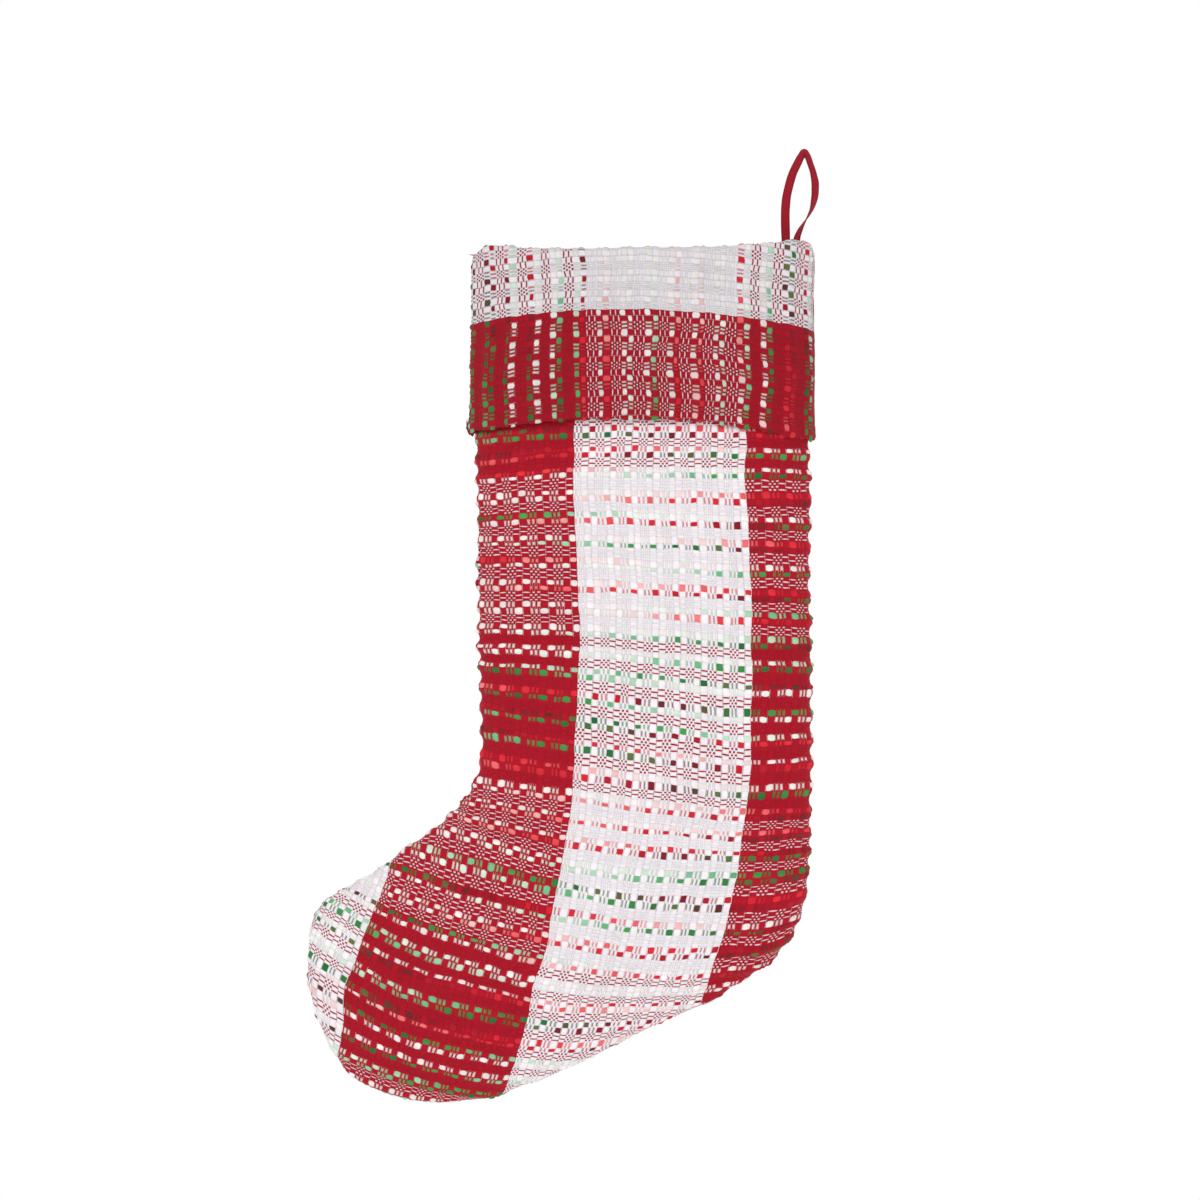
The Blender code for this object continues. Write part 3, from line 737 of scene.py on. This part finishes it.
def add_panel(name, back, seed):
    """The front or the back of the leg and foot."""
    ends = Yarns(END_WIDTHS, END_CUTS, -15 if back else -13, 26 if back else 25, 0.08, seed + 5)
    picks = Yarns(PICK_WIDTHS, PICK_CUTS, -17, 40, 0.30, seed + 6)
    end_white, pick_white = body_bands(ends, picks, BACK_BAND_SHIFT if back else 0)
    cloth = woven(ends, picks, end_white, pick_white, {} if back else BODY_DYES, seed)
    x, z = panel_places(ends, picks, back)
    u, v = np.meshgrid(ends.lines, picks.lines)
    height = relief(cloth, u, v, 1.85, 1.25, (0.85, 0.4, 70), (0.6, 85), (0.4, 28), seed)
    # pressed flat under the cuff
    height = height * np.clip((UNDER_CUFF_Z - z) / UNDER_CUFF_FADE, UNDER_CUFF_SHARE, 1.0)
    flat = np.stack([x.ravel(), z.ravel()], axis=1)
    distance, away = nearest_on_path(flat, OUTLINE)
    inside = inside_outline(flat)
    signed = np.where(inside, distance, -distance)
    inwards = np.where(inside[:, None], away, -away)
    arc, inward, out = quarter_arc(EDGE_ROUNDING, BODY_HALF_DEPTH - RIM_STRIP)
    spare = arc[-1] - inward[-1]
    # near the mouth the nearest edge is a side, not the outline's open end
    at_mouth = flat[:, 1] > MOUTH_Z - NEAR_MOUTH
    side = np.minimum(flat[:, 0] - OUTLINE[0, 0], OUTLINE[-1, 0] - flat[:, 0])
    signed = np.where(at_mouth, side, signed)
    sideways = np.column_stack([np.where(flat[:, 0] < LEG_MIDDLE_X, 1.0, -1.0), np.zeros(len(flat))])
    inwards = np.where(at_mouth[:, None], sideways, inwards)
    # the panel is cut off at the seam and at the mouth
    keep = np.minimum(signed + spare, MOUTH_Z - flat[:, 1])
    fields = np.column_stack([flat, signed, inwards, u.ravel(), v.ravel(), height.ravel()])
    values, faces, cells, rim = clip_grid(fields.reshape(*u.shape, -1), keep.reshape(u.shape))
    flat, signed, inwards, place = values[:, :2], values[:, 2], values[:, 3:5], values[:, 5:7]
    points = stuff(flat, signed, inwards, values[:, 7], arc, inward, out)
    points, place, faces, cells = turn_in_edge(points, place, faces, cells, rim, flat, inwards)
    if back:
        points = points * (1, -1, 1)
        faces = [f[::-1] for f in faces]
    return add_woven_mesh(name, points, faces, cells, place, cloth)


def inside_outline(points):
    """Which (x, z) points lie inside the outline closed across the mouth."""
    ring = np.concatenate([OUTLINE, OUTLINE[:1]])
    inside = np.zeros(len(points), bool)
    for (x1, z1), (x2, z2) in zip(ring[:-1], ring[1:]):
        if z1 == z2:
            continue
        crosses = (points[:, 1] > min(z1, z2)) & (points[:, 1] <= max(z1, z2))
        inside ^= crosses & (points[:, 0] < x1 + (points[:, 1] - z1) * (x2 - x1) / (z2 - z1))
    return inside


front = add_panel("stocking_front_cloth", False, 11)
back = add_panel("stocking_back_cloth", True, 47)
for piece, node in ((front, "front_panel"), (back, "back_panel")):
    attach(piece, "stocking")
    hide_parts(node)

for node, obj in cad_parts.items():
    obj.data.materials.clear()
    obj.data.materials.append(LINING if "lining" in node else RED_THREAD)


# ---- the cuff
CUFF_LEFT, CUFF_RIGHT = -0.1957, 0.0058
CUFF_CORNER = 0.009
# Height of the folded top at places across it: it sags a little and is drawn up at the loop
CUFF_TOP_PLACES = (-0.196, -0.181, -0.156, -0.123, -0.065, -0.040, -0.019, -0.009, 0.006)
CUFF_TOP_HEIGHTS = (-0.0572, -0.0568, -0.0582, -0.0580, -0.0576, -0.0564, -0.0552, -0.0530, -0.0529)
CUFF_HEM_LEFT, CUFF_HEM_RIGHT, CUFF_HEM_ARCH = -0.1645, -0.1690, 0.010
CUFF_HALF_DEPTH, CUFF_RIM = 0.0212, 0.0004
# The radius of the fold, and how far the cloth goes down into the mouth and is turned in at the hem
CUFF_ROLL, CUFF_INSIDE, CUFF_TURN = 0.0034, 0.0065, 0.0090
HEM_RADIUS = 0.0011
# The red band's width up from the hem, in metres and in periods, and how drawn up the cloth is in its height
CUFF_RED_BAND, CUFF_RED_PERIODS, CUFF_END_SCALE = 0.0630, 5, 0.92
# One period of the weft round the cuff, and where the first begins
CUFF_PICK_PERIOD, CUFF_FIRST_PICK = 0.0137, 0.0002
# The share that the cuff's colours are darkened by, as painted shade: the cuff gets less light than the leg
CUFF_PAINTED_SHADE = 0.83
# The under layer: how far it lies inside the cloth, and how far short of its edges it stops
FACING_UNDER, FACING_TRIM, FACING_CUTS = 0.0024, 0.004, 60


def cuff_top(x):
    """Height of the folded top, with its rounded corners."""
    side = np.clip(np.minimum(x - CUFF_LEFT, CUFF_RIGHT - x), 0, CUFF_CORNER)
    corner = CUFF_CORNER - np.sqrt(CUFF_CORNER**2 - (CUFF_CORNER - side) ** 2)
    return hermite(CUFF_TOP_PLACES, CUFF_TOP_HEIGHTS, x) - corner


def cuff_hem(x):
    """Height of the hem, which arches a little."""
    s = (x - CUFF_LEFT) / (CUFF_RIGHT - CUFF_LEFT)
    return CUFF_HEM_LEFT + s * (CUFF_HEM_RIGHT - CUFF_HEM_LEFT) + CUFF_HEM_ARCH * (1 - (2 * s - 1) ** 2)


def across_cuff(run):
    """x, depth and outward direction of the cuff's outside, at arc lengths in from its left seam."""
    arc, inward, out = quarter_arc(EDGE_ROUNDING, CUFF_HALF_DEPTH - CUFF_RIM)
    spare = arc[-1] - inward[-1]
    whole = CUFF_RIGHT - CUFF_LEFT + 2 * spare
    near = np.minimum(run, whole - run)
    inside = np.where(near < arc[-1], np.interp(near, arc, inward), near - spare)
    depth = CUFF_RIM + np.interp(near, arc, out)
    left = run <= whole / 2
    x = np.where(left, CUFF_LEFT + inside, CUFF_RIGHT - inside)
    lean = np.clip(inside / EDGE_ROUNDING, 0, 1)
    side = (1 - lean) * (CUFF_HALF_DEPTH / EDGE_ROUNDING)
    front = np.sqrt(np.clip(1 - (1 - lean) ** 2, 0, 1))
    size = np.hypot(side, front)
    return x, depth, np.where(left, -1, 1) * side / size, front / size


def cuff_points(run, above, height, under=0.0, trim=0.0):
    """Points of the cuff's front half. above is how far up the cloth a point is from the hem's fold: below 0
    it is turned in, and past the top it rolls over into the mouth. Also how far down the mouth each is."""
    x, depth, side, forward = across_cuff(run)
    depth = depth - under
    roll = np.clip((depth - 0.0008) / 2, 0.0006, CUFF_ROLL - under / 2)
    top, hem = cuff_top(x) - trim - roll, cuff_hem(x) + trim
    straight = top - hem
    turn_radius = np.minimum(HEM_RADIUS, (depth - 0.0006) / 2)
    turned = math.pi * turn_radius
    # outside, over the roll, then down into the mouth
    past = above - straight
    angle = np.clip(past / roll, 0, math.pi)
    y = -(depth - roll) - roll * np.cos(angle)
    z = np.where(past < 0, hem + above, top + roll * np.sin(angle) - np.clip(past - math.pi * roll, 0, None))
    ny, nz = -np.cos(angle), np.sin(angle)
    # the hem's fold
    below = np.clip(-above, 0, None)
    bend = np.clip(below / turn_radius, 0, math.pi)
    folded = above < 0
    y = np.where(folded, -(depth - turn_radius) - turn_radius * np.cos(bend), y)
    z = np.where(folded, hem - turn_radius * np.sin(bend) + np.clip(below - turned, 0, None), z)
    ny, nz = np.where(folded, -np.cos(bend), ny), np.where(folded, -np.sin(bend), nz)
    upright = np.abs(ny)
    normal = np.stack([side * upright, ny * np.where(upright > 0.99, forward, 1.0), nz], axis=-1)
    normal /= np.linalg.norm(normal, axis=-1)[..., None]
    points = np.stack([x, y, z], axis=-1) + normal * height[..., None]
    points[..., 1] = np.minimum(points[..., 1], -0.0003)
    return points, past - math.pi * roll


def add_cuff_half(side, back, seed):
    """Half of the cuff: its cloth, and the turned-in layer under it."""
    body = f"cuff_{side}"
    arc, inward, _ = quarter_arc(EDGE_ROUNDING, CUFF_HALF_DEPTH - CUFF_RIM)
    whole = CUFF_RIGHT - CUFF_LEFT + 2 * (arc[-1] - inward[-1])
    ends = Yarns(END_WIDTHS, END_CUTS, -1, 13, 0.08, seed + 5)
    picks = Yarns(PICK_WIDTHS, PICK_CUTS, -1, 17, 0.28, seed + 6)
    n = picks.period + (3 if back else 0)
    end_white = ends.period >= CUFF_RED_PERIODS
    pick_white = (n >= 5) & (n <= 11)
    cloth = woven(ends, picks, end_white, pick_white, {} if back else CUFF_DYES, seed)
    u, v = np.meshgrid(ends.lines, picks.lines)
    rise = relief(cloth, u, v, 0.95, 0.45, (0.8, 0.35, 60), (0.6, 80), (0.3, 26), seed)
    even_run = v * (CUFF_PICK_PERIOD / PICK_PERIOD) + CUFF_FIRST_PICK
    run = even_run + MM * (0.35 * waves(u, v, 10, seed + 11) + 1.1 * waves(u, v, 60, seed + 12))
    above = CUFF_RED_BAND + (u - CUFF_RED_PERIODS * END_PERIOD) * MM * CUFF_END_SCALE
    above = above + MM * (0.3 * waves(u, v, 9, seed + 13) + 0.5 * waves(u, v, 40, seed + 14))
    points, inside = cuff_points(run, above, rise * MM)
    keep = np.minimum.reduce([run, whole - run, CUFF_INSIDE - inside, above + CUFF_TURN])
    # the bottom corners flare a little
    near_side = np.clip(1 - np.minimum(run, whole - run) / 0.03, 0, 1)
    near_hem = np.clip(1 - above / 0.05, 0, 1)
    points[..., 0] += np.where(run < whole / 2, -0.0022, 0.0006) * (near_side**2 * near_hem**2)
    fields = np.concatenate([points, np.stack([u, v], axis=-1)], axis=-1)
    values, faces, cells, _ = clip_grid(fields, keep)
    points, place = values[:, :3], values[:, 3:5]
    if back:
        points = points * (1, -1, 1)
    else:
        faces = [f[::-1] for f in faces]
    # two pieces, each from its side seam to the middle of the cuff
    middle = np.flatnonzero(even_run[:, 0] >= whole / 2)[0]
    for part, wanted in (("left", cells[:, 0] < middle), ("right", cells[:, 0] >= middle)):
        chosen = np.flatnonzero(wanted)
        used = np.unique(np.concatenate([faces[k] for k in chosen]))
        renumber = np.full(len(points), -1)
        renumber[used] = np.arange(len(used))
        part_faces = [renumber[faces[k]] for k in chosen]
        name = f"{body}_cloth_{part}"
        piece = add_woven_mesh(name, points[used], part_faces, cells[chosen], place[used], cloth, CUFF_PAINTED_SHADE)
        bend_from_side(piece)
        if part == "left":
            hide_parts(body)
    for part, first in (("left", FACING_TRIM), ("right", whole / 2)):
        runs = np.linspace(first, first + whole / 2 - FACING_TRIM, FACING_CUTS)
        r, a = np.meshgrid(runs, np.linspace(0, 1, FACING_CUTS), indexing="ij")
        x, _, _, _ = across_cuff(r)
        straight = cuff_top(x) - FACING_TRIM - CUFF_ROLL - cuff_hem(x) - FACING_TRIM
        crease = 0.0003 * waves(r * 1000, a * 100, 40, seed + 9)
        shell, _ = cuff_points(r, a * straight, crease, FACING_UNDER, FACING_TRIM)
        facing_place = np.stack([r * 1000, a * 110], axis=-1)
        facing = add_grid(f"{body}_facing_{part}", shell, facing_place, FACING, back)
        bend_from_side(facing)
        if part == "left":
            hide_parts(f"{body}_facing")


def bend_from_side(piece):
    """Bakes the piece's place into its mesh."""
    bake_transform(piece)


def add_grid(name, points, place, material, back):
    """A smooth mesh over a (rows, columns) grid of points, in front view, turned round for the back."""
    rows, columns = points.shape[:2]
    index = np.arange(rows * columns).reshape(rows, columns)
    quads = np.stack([index[:-1, :-1], index[1:, :-1], index[1:, 1:], index[:-1, 1:]], axis=-1).reshape(-1, 4)
    flat = points.reshape(-1, 3) * ((1, -1, 1) if back else (1, 1, 1))
    mesh = bpy.data.meshes.new(name)
    mesh.from_pydata(flat.tolist(), [], (quads if back else quads[:, ::-1]).tolist())
    set_cloth_at(mesh, place.reshape(-1, 2))
    mesh.materials.append(material)
    mesh.shade_smooth()
    return add_object(name, mesh)


add_cuff_half("front", False, 23)
add_cuff_half("back", True, 61)


# ---- the lining
LINING_INSET, LINING_DEPTH, LINING_ROUNDING = 0.0062, 0.0146, 0.036
LINING_TOP_Z, LINING_ROWS = -0.0605, 130


def add_lining(name, back, seed):
    """Half of the cotton bag inside, a little slack and creased."""
    ends = leg_lines(LINING_ROWS, trim=0.006)
    instep, heel = ends[:, :2], ends[:, 2:]
    across = (1 - np.cos(np.linspace(0, math.pi, 61))) / 2
    flat = instep[:, None] * (1 - across[None, :, None]) + heel[:, None] * across[None, :, None]
    distance, away = nearest_on_path(flat.reshape(-1, 2), OUTLINE)
    sign = np.where(inside_outline(flat.reshape(-1, 2)), 1.0, -1.0)
    signed = (distance * sign).reshape(flat.shape[:2])
    away = (away * sign[:, None]).reshape(flat.shape)
    # drawn in from the outline, most at the edge
    pull = LINING_INSET * np.clip(1 - signed / 0.03, 0, 1)
    along = np.gradient(np.concatenate([instep, heel[::-1]]), axis=0)
    inwards = np.stack([-along[:, 1], along[:, 0]], axis=1)
    inwards /= np.linalg.norm(inwards, axis=1)[:, None]
    away[:, 0] = inwards[: len(instep)]
    away[:, -1] = inwards[len(instep) :][::-1]
    flat = flat + away * pull[..., None]
    lean = 1 - np.clip((signed + pull - LINING_INSET) / LINING_ROUNDING, 0, 1)
    depth = SEAM_GAP + (LINING_DEPTH - SEAM_GAP) * np.sqrt(1 - lean**2)
    u, v = np.meshgrid(across * 190, np.linspace(0, 1, LINING_ROWS) * 560)
    crease = 0.5 * waves(u, v, 45, seed) + 0.25 * waves(u, v, 18, seed + 1)
    depth = depth - (0.5 + crease) * 0.0009 * np.clip(depth / 0.008, 0, 1)
    points = np.stack([flat[..., 0], -depth, flat[..., 1]], axis=-1)
    points[..., 2] = np.minimum(points[..., 2], LINING_TOP_Z)
    obj = add_grid(name, points, np.stack([u, v], axis=-1), LINING, back)
    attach(obj, "stocking")
    return obj


for side, back in (("front", False), ("back", True)):
    lining = add_lining(f"stocking_lining_{side}", back, 71 + back)
    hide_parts(f"{side}_lining")


# ---- the tape loop
TAPE_WIDTH, TAPE_THICKNESS, TAPE_RIB = 0.0052, 0.0010, 0.62
# The tape's middle line, x and z in metres, from one sewn end to the other, and its turn in degrees
LOOP_ROUTE = (
    (-0.0104, -0.0620, 0.0), (-0.0109, -0.0510, 0.0), (-0.0112, -0.0380, 0.0), (-0.0107, -0.0290, 5.0),
    (-0.0089, -0.0199, 12.0), (-0.0069, -0.0132, 20.0), (-0.0041, -0.0072, 27.0), (-0.0016, -0.0024, 36.0),
    (0.0001, -0.0002, 42.0), (0.0018, -0.0024, 46.0), (0.0036, -0.0072, 46.0), (0.0055, -0.0132, 42.0),
    (0.0065, -0.0200, 34.0), (0.0064, -0.0245, 36.0), (0.0057, -0.0290, 47.0), (0.0045, -0.0335, 66.0),
    (0.0023, -0.0380, 82.0), (-0.0004, -0.0425, 102.0), (-0.0028, -0.0470, 122.0),
    (-0.0043, -0.0515, 136.0), (-0.0050, -0.0620, 160.0),
)


def tape_material():
    """A red ribbed tape: fine ribs across it and a raised edge along each side."""
    n = Nodes("tape_red")
    u, v, _ = n.split(n.attribute("cloth_at"))
    rib = n.math("SINE", n.math("MULTIPLY", v, 2 * math.pi / TAPE_RIB))
    fuzz = n.noise(n.attribute("cloth_at"), 2.2, (2.2, 1.0, 1.0), 4.0, 0.65)
    side = n.ramp(n.math("ABSOLUTE", u), 0.55, 0.95)
    tone = n.vary(n.math("MULTIPLY_ADD", rib, 0.09, 0.88), fuzz, 0.36, 0.80)
    tint = n.mix(side, (*color("AC0B26"), 1.0), (*color("8C0519"), 1.0))
    height = n.math("MULTIPLY_ADD", rib, 0.5, fuzz)
    n.finish(tint, tone, height, 0.00018, 0.8, n.math("MULTIPLY_ADD", fuzz, 0.2, 0.62))
    n.gloss(0.25, 0.05)
    return n.material


def add_loop():
    """The tape, swept along its route and turned as it goes."""
    knots = np.array(LOOP_ROUTE) * (1000, 1000, 1)
    steps = np.concatenate([[0], np.cumsum(np.linalg.norm(np.diff(knots, axis=0), axis=1))])
    route = hermite(steps, knots, np.linspace(0, steps[-1], 260))
    centre = np.stack([route[:, 0], np.zeros(len(route)), route[:, 1]], axis=1) / 1000
    along = np.gradient(centre, axis=0)
    along /= np.linalg.norm(along, axis=1)[:, None]
    flat = np.stack([-along[:, 2], np.zeros(len(route)), along[:, 0]], axis=1)
    turn = np.radians(route[:, 2])[:, None]
    wide = np.cos(turn) * flat + np.sin(turn) * np.array([0.0, 1.0, 0.0])
    thick = np.cross(along, wide)
    # a section with two raised edges and a shallow middle
    a = np.linspace(0, 2 * math.pi, 29)[:-1]
    across = np.sign(np.cos(a)) * np.abs(np.cos(a)) ** 0.55
    edges = 0.78 + 0.30 * np.abs(across) ** 3 - 0.12 * (np.abs(across) < 0.2)
    lift = np.sign(np.sin(a)) * np.abs(np.sin(a)) ** 0.6 * edges
    fray = 1 + 0.03 * waves(np.arange(len(route))[:, None] * 1.0, np.zeros((1, len(a))), 14, 3)
    points = (centre[:, None] + wide[:, None] * (across[None, :, None] * TAPE_WIDTH / 2) * fray[..., None]
              + thick[:, None] * lift[None, :, None] * TAPE_THICKNESS / 2)
    points = np.concatenate([points, points[:, :1]], axis=1)
    distance = np.concatenate([[0], np.cumsum(np.linalg.norm(np.diff(centre, axis=0), axis=1))]) * 1000
    place = np.stack(np.broadcast_arrays(np.append(across, across[0])[None, :], distance[:, None]), axis=-1)
    loop = add_grid("hanging_loop_tape", points, place, tape_material(), False)
    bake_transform(loop)
    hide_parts("hanging_loop")


add_loop()


def add_tack():
    """Close stitches that hold the two ends of the tape."""
    curve = bpy.data.curves.new("loop_tack_stitches", "CURVE")
    curve.dimensions = "3D"
    curve.bevel_depth = 0.00028
    curve.bevel_resolution = 3
    count, left, width = 46, -0.0135, 0.0120
    for row, z in enumerate((-0.0546, -0.0552, -0.0558)):
        spline = curve.splines.new("POLY")
        spline.points.add(count - 1)
        for k in range(count):
            x = left + width * k / (count - 1)
            y = 0.0007 * (-1) ** k * (1 if k % 4 < 2 else 0.85)
            spline.points[k].co = (x, y, z + 0.0003 * math.sin(k * 1.9 + row), 1)
    stitches = add_object("loop_tack_stitches", curve)
    curve.materials.append(RED_THREAD)
    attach(stitches, "stocking")
    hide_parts("loop_tack")


add_tack()


# ---- stage, light, camera
FLOOR_RADIUS, FLOOR_X, FLOOR_Z, FLOOR_CORNERS = 1.5, -0.1, -1.0, 96
stage_mesh = bpy.data.meshes.new("studio_floor")
turns = np.linspace(0, 2 * math.pi, FLOOR_CORNERS + 1)[:-1]
ring = [(FLOOR_RADIUS * math.cos(a) + FLOOR_X, FLOOR_RADIUS * math.sin(a), FLOOR_Z) for a in turns]
stage_mesh.from_pydata(ring, [], [list(range(FLOOR_CORNERS))])
floor = add_object("studio_floor", stage_mesh)
floor_nodes = Nodes("studio_floor")
floor_nodes.shader.inputs["Base Color"].default_value = (0.93, 0.93, 0.93, 1)
floor_nodes.shader.inputs["Emission Color"].default_value = (1, 1, 1, 1)
floor_nodes.shader.inputs["Emission Strength"].default_value = 0.18
floor_nodes.shader.inputs["Roughness"].default_value = 0.9
stage_mesh.materials.append(floor_nodes.material)

world = bpy.data.worlds.new("studio")
bpy.context.scene.world = world
world.use_nodes = True
tree = world.node_tree
surround = tree.nodes["Background"]
surround.inputs["Color"].default_value = (1, 1, 1, 1)
surround.inputs["Strength"].default_value = 0.68
seen = tree.nodes.new("ShaderNodeBackground")
seen.inputs["Color"].default_value = (1, 1, 1, 1)
seen.inputs["Strength"].default_value = 1.0
ray = tree.nodes.new("ShaderNodeLightPath")
choose = tree.nodes.new("ShaderNodeMixShader")
tree.links.new(ray.outputs["Is Camera Ray"], choose.inputs[0])
tree.links.new(surround.outputs[0], choose.inputs[1])
tree.links.new(seen.outputs[0], choose.inputs[2])
tree.links.new(choose.outputs[0], tree.nodes["World Output"].inputs["Surface"])


def add_light(name, place, target, size, power):
    """A square light that faces its target."""
    data = bpy.data.lights.new(name, "AREA")
    data.shape = "SQUARE"
    data.size = size
    data.energy = power
    light = add_object(name, data)
    light.location = place
    light.rotation_euler = (Vector(target) - Vector(place)).to_track_quat("-Z", "Y").to_euler()


MIDDLE = (-0.12, 0.0, -0.28)
add_light("key", (-0.7, -1.7, 1.1), MIDDLE, 1.0, 11.5)
add_light("fill", (1.2, -1.6, 0.1), MIDDLE, 1.2, 5.5)
add_light("side", (-2.2, -0.7, -0.1), MIDDLE, 1.2, 3.5)
add_light("back_key", (0.9, 1.8, 0.7), MIDDLE, 1.2, 11)

camera_data = bpy.data.cameras.new("camera")
camera_data.lens = 200
camera_data.sensor_width = 36
camera_data.clip_end = 30
camera = add_object("camera", camera_data)
camera.location = (-0.1204, -3.93, -0.2643)
camera.rotation_euler = (math.pi / 2, 0, 0)
bpy.context.scene.camera = camera
bpy.context.scene.view_settings.view_transform = "Standard"
